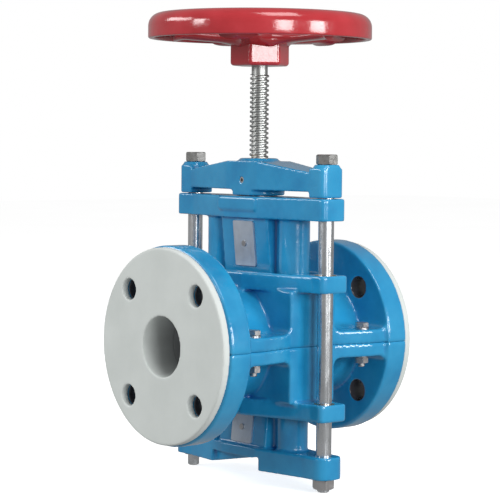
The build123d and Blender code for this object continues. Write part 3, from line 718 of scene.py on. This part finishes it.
def spindle():
    """Spindle with a real trapezoidal thread, turned collar, journal and wheel seat."""
    low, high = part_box("spindle")
    foot, tip = low.z / MM, high.z / MM
    hub_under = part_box("handwheel")[0].z / MM
    collar_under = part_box("thrust_washer")[1].z / MM + COLLAR_CLEAR
    collar_top = collar_under + COLLAR_HIGH
    thread_top = hub_under - NECK_HIGH
    core = THREAD_MINOR - CORE_CLEAR
    outline = [
        (0, foot), (JOURNAL - TIP_BEVEL, foot), (JOURNAL, foot + TIP_BEVEL), (JOURNAL, collar_under),
        (COLLAR - COLLAR_BEVEL, collar_under), (COLLAR, collar_under + COLLAR_BEVEL),
        (COLLAR, collar_top - COLLAR_BEVEL), (COLLAR - COLLAR_BEVEL, collar_top),
        (core, collar_top), (core, thread_top), (NECK, thread_top),
        (NECK, hub_under), (JOURNAL, hub_under), (JOURNAL, tip - TIP_BEVEL),
        (JOURNAL - TIP_BEVEL, tip), (0, tip),
    ]
    bar = lathe("bar", outline, BAR_STEPS, BAR_CREASE)
    thread = grown(
        "thread", thread_tree(SPINDLE_STEEL), major=THREAD_MAJOR * MM, minor=THREAD_MINOR * MM,
        pitch=THREAD_PITCH * MM, low=(collar_top - THREAD_OVERLAP) * MM, high=thread_top * MM,
    )
    smooth_shaded(thread, THREAD_CREASE)
    both = joined("threaded_spindle", [bar, thread])
    finished(both, "wheel", "bright_steel", SPINDLE_STEEL, "spindle")


# ---------------------------------------------------------------- rubber sleeve
SLEEVE_OUTER = 33.0  # radius
SLEEVE_BORE = 25.0  # radius
SLEEVE_STEPS = 96
SLEEVE_CREASE = 40
FACE_GRAIN = 1.15
FACE_PASSES = 3
BAR_HALF = 12.0  # half the length of the sleeve's middle ring, under the pinch bars
RINGS = 9  # on each side of the pinched middle


def sleeve_ring(name, start, end):
    """A length of the sleeve's middle: a plain tube along the flow."""
    walls = [(SLEEVE_BORE, start), (SLEEVE_OUTER, start), (SLEEVE_OUTER, end), (SLEEVE_BORE, end)]
    ring = lathe(name, walls, SLEEVE_STEPS, SLEEVE_CREASE)
    for vert in ring.data.vertices:
        vert.co = Vector((vert.co.z, vert.co.y, -vert.co.x))
    finished(ring, "body", "white_rubber", RUBBER, "sleeve_tube")
    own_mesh(ring)


def sleeve():
    """The rubber sleeve: sealing faces at both ends and a middle in short rings."""
    faces = cast("sleeve_ends", "sleeve_faces", FACE_GRAIN * MM, FACE_PASSES)
    finished(faces, "body", "white_rubber", RUBBER, "sleeve_ends")
    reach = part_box("sleeve_tube")[1].x / MM
    sleeve_ring("sleeve_pinched", -BAR_HALF, BAR_HALF)
    for i in range(RINGS):
        start = BAR_HALF + (reach - BAR_HALF) * i / RINGS
        end = BAR_HALF + (reach - BAR_HALF) * (i + 1) / RINGS
        sleeve_ring(f"sleeve_right_{i + 1}", start, end)
        sleeve_ring(f"sleeve_left_{i + 1}", -end, -start)


# ---------------------------------------------------------------- fasteners
ROD_NUT = 16.0
ROD_NUT_HIGH = 8.4
ROD_END = 10.0
BODY_HEX = 10.0
BODY_BOLT = 6.0
BOLT_POINT = 0.6  # bevel at the bolt's end
BOLT_OVERLAP = 0.5  # of the shank and the head
BOLT_STEPS = 48
BODY_HEAD_HIGH = 4.2
WHEEL_NUT = 18.0


def set_out(name, body, node, pattern, across, along, material):
    """Copies of one fastener at the corners of a grid, in place of a node."""
    piece = grown(
        name, repeat_tree(material), pattern=pattern, across=across * MM, along=along * MM,
        rows=2 if across else 1, columns=2 if along else 1,
    )
    bpy.data.objects.remove(pattern)
    finished(smooth_shaded(piece, HEX_CREASE), body, "zinc_steel", material, node)


def body_bolt():
    """One body bolt: hexagon head and pointed shank."""
    low, high = (corner.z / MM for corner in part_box("body_bolts"))
    seat = high - BODY_HEAD_HIGH
    radius = BODY_BOLT / 2
    shank = lathe("shank", [
        (0, low), (radius - BOLT_POINT, low), (radius, low + BOLT_POINT),
        (radius, seat + BOLT_OVERLAP), (0, seat + BOLT_OVERLAP),
    ], BOLT_STEPS, HEX_CREASE)
    return joined("body_bolt", [hexagon("head", BODY_HEX, seat, high), shank])


def fasteners():
    """Hexagon nuts and bolts with turned corners."""
    low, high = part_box("upper_rod_nuts")
    spread = (high.y - low.y) / MM - ROD_NUT
    nut = hexagon("rod_nut", ROD_NUT, low.z / MM, high.z / MM, ROD_END)
    set_out("hex_upper_rod_nuts", "yoke", "upper_rod_nuts", nut, 0, spread, NUT_STEEL)
    low, high = (corner.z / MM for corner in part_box("lower_rod_nuts"))
    pair = []
    for side, foot in ((-1, low), (1, high - ROD_NUT_HIGH)):
        nut = hexagon("rod_nut", ROD_NUT, foot, foot + ROD_NUT_HIGH, ROD_END)
        for vert in nut.data.vertices:
            vert.co.y += side * spread / 2 * MM
        pair.append(nut)
    nuts = smooth_shaded(joined("hex_lower_rod_nuts", pair), HEX_CREASE)
    finished(nuts, "yoke", "zinc_steel", ZINC, "lower_rod_nuts")
    low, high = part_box("wheel_nut")
    nut = hexagon("hex_wheel_nut", WHEEL_NUT, low.z / MM, high.z / MM, 2 * WHEEL_BORE)
    finished(nut, "wheel", "zinc_steel", ZINC, "wheel_nut")
    low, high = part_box("body_bolts")
    tall = 2 * BODY_HEX / math.sqrt(3)
    across, along = (high.x - low.x) / MM - tall, (high.y - low.y) / MM - BODY_HEX
    set_out("hex_body_bolts", "body", "body_bolts", body_bolt(), across, along, ZINC)
    low, high = (corner.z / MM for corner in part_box("body_nuts"))
    nut = hexagon("body_nut", BODY_HEX, low, high, BODY_BOLT)
    set_out("hex_body_nuts", "body", "body_nuts", nut, across, along, ZINC)


# ---------------------------------------------------------------- studio
FLOOR_HALF = 6.0  # metres
FLOOR_CLEAR = 0.5


def studio_floor():
    """Plain pale floor just below the lowest nut."""
    z = cad_box[0].z - FLOOR_CLEAR * MM
    corners = [(x * FLOOR_HALF, y * FLOOR_HALF, z) for x, y in ((-1, -1), (1, -1), (1, 1), (-1, 1))]
    mesh = bpy.data.meshes.new("floor")
    mesh.from_pydata(corners, [], [(0, 1, 2, 3)])
    floor = link(mesh, "floor")
    n = Nodes("pale_floor")
    colour = n.ramp(n.noise(3.0), [(0.3, (0.86, 0.86, 0.86)), (0.7, (0.90, 0.90, 0.90))])
    rough = n.band(n.noise(8.0), 0.3, 0.7, 0.85, 0.95)
    floor.data.materials.append(n.done(
        colour, rough, Emission_Color=(1.0, 1.0, 1.0, 1.0), Emission_Strength=0.7, Specular_IOR_Level=0.0,
    ))
    floor.visible_diffuse = False
    floor.visible_glossy = False


CAMERA_PLACE = Vector((-1.0774, -1.2735, 0.1718))
CAMERA_YAW = math.radians(50.0)
CAMERA_PITCH = math.radians(3.29)
CAMERA_ROLL = 0.0093  # radians
CAMERA_LENS = 142.2
LIGHT_AIM = Vector((0, 0, 0.09))
FILL = 0.32  # strength of the even light on the valve


def camera_axes():
    """Right, up and back directions of the camera."""
    ahead = Vector((
        math.cos(CAMERA_YAW) * math.cos(CAMERA_PITCH),
        math.sin(CAMERA_YAW) * math.cos(CAMERA_PITCH),
        -math.sin(CAMERA_PITCH),
    ))
    right = Vector((math.sin(CAMERA_YAW), -math.cos(CAMERA_YAW), 0))
    up = right.cross(ahead)
    c, s = math.cos(CAMERA_ROLL), math.sin(CAMERA_ROLL)
    return c * right + s * up, c * up - s * right, -ahead


def place_camera():
    """Long lens at the valve's flange and handwheel side."""
    data = bpy.data.cameras.new("camera")
    data.lens = CAMERA_LENS
    camera = bpy.data.objects.new("camera", data)
    right, up, back = camera_axes()
    turn = Matrix((right, up, back)).transposed()
    camera.matrix_world = Matrix.Translation(CAMERA_PLACE) @ turn.to_4x4()
    bpy.context.scene.collection.objects.link(camera)
    bpy.context.scene.camera = camera


def softbox(name, around, height, distance, size, power):
    """Oblong soft light aimed at the valve; around is degrees right of the camera."""
    turn = CAMERA_YAW + math.radians(around)
    back = Vector((-math.cos(turn), -math.sin(turn), 0))
    data = bpy.data.lights.new(name, "AREA")
    data.shape = "RECTANGLE"
    data.size, data.size_y = size
    data.energy = power
    lamp = bpy.data.objects.new(name, data)
    lamp.location = LIGHT_AIM + distance * back + Vector((0, 0, height))
    lamp.rotation_mode = "QUATERNION"
    lamp.rotation_quaternion = (lamp.location - LIGHT_AIM).to_track_quat("Z", "Y")
    bpy.context.scene.collection.objects.link(lamp)


def surround():
    """White backdrop, and a dimmer even light on the valve itself."""
    world = bpy.data.worlds.new("surround")
    world.use_nodes = True
    tree = world.node_tree
    fill = tree.nodes["Background"]
    fill.inputs["Color"].default_value = (1.0, 1.0, 1.0, 1.0)
    fill.inputs["Strength"].default_value = FILL
    backdrop = tree.nodes.new("ShaderNodeBackground")
    backdrop.inputs["Strength"].default_value = 1.0
    backdrop.inputs["Color"].default_value = (1.0, 1.0, 1.0, 1.0)
    path = tree.nodes.new("ShaderNodeLightPath")
    choice = tree.nodes.new("ShaderNodeMixShader")
    tree.links.new(path.outputs["Is Camera Ray"], choice.inputs[0])
    tree.links.new(fill.outputs[0], choice.inputs[1])
    tree.links.new(backdrop.outputs[0], choice.inputs[2])
    tree.links.new(choice.outputs[0], tree.nodes["World Output"].inputs["Surface"])
    bpy.context.scene.world = world


def studio_light():
    """White surround, soft lights from the sides and the top, and plain display colours."""
    surround()
    softbox("near_box", 24, 0.26, 1.7, (0.48, 0.5), 10.0)
    softbox("side_box", 59, 0.26, 1.7, (0.48, 0.5), 11.5)
    softbox("left_box", -63, 0.5, 1.8, (0.4, 0.5), 7.0)
    softbox("far_left_box", -93, 0.8, 1.8, (1.1, 0.5), 12.0)
    softbox("top_box", 30, 1.7, 0.9, (0.9, 0.9), 14.0)
    bpy.context.scene.view_settings.view_transform = "Standard"


finish_nodes()
castings()
handwheel()
spindle()
sleeve()
fasteners()
studio_floor()
place_camera()
studio_light()
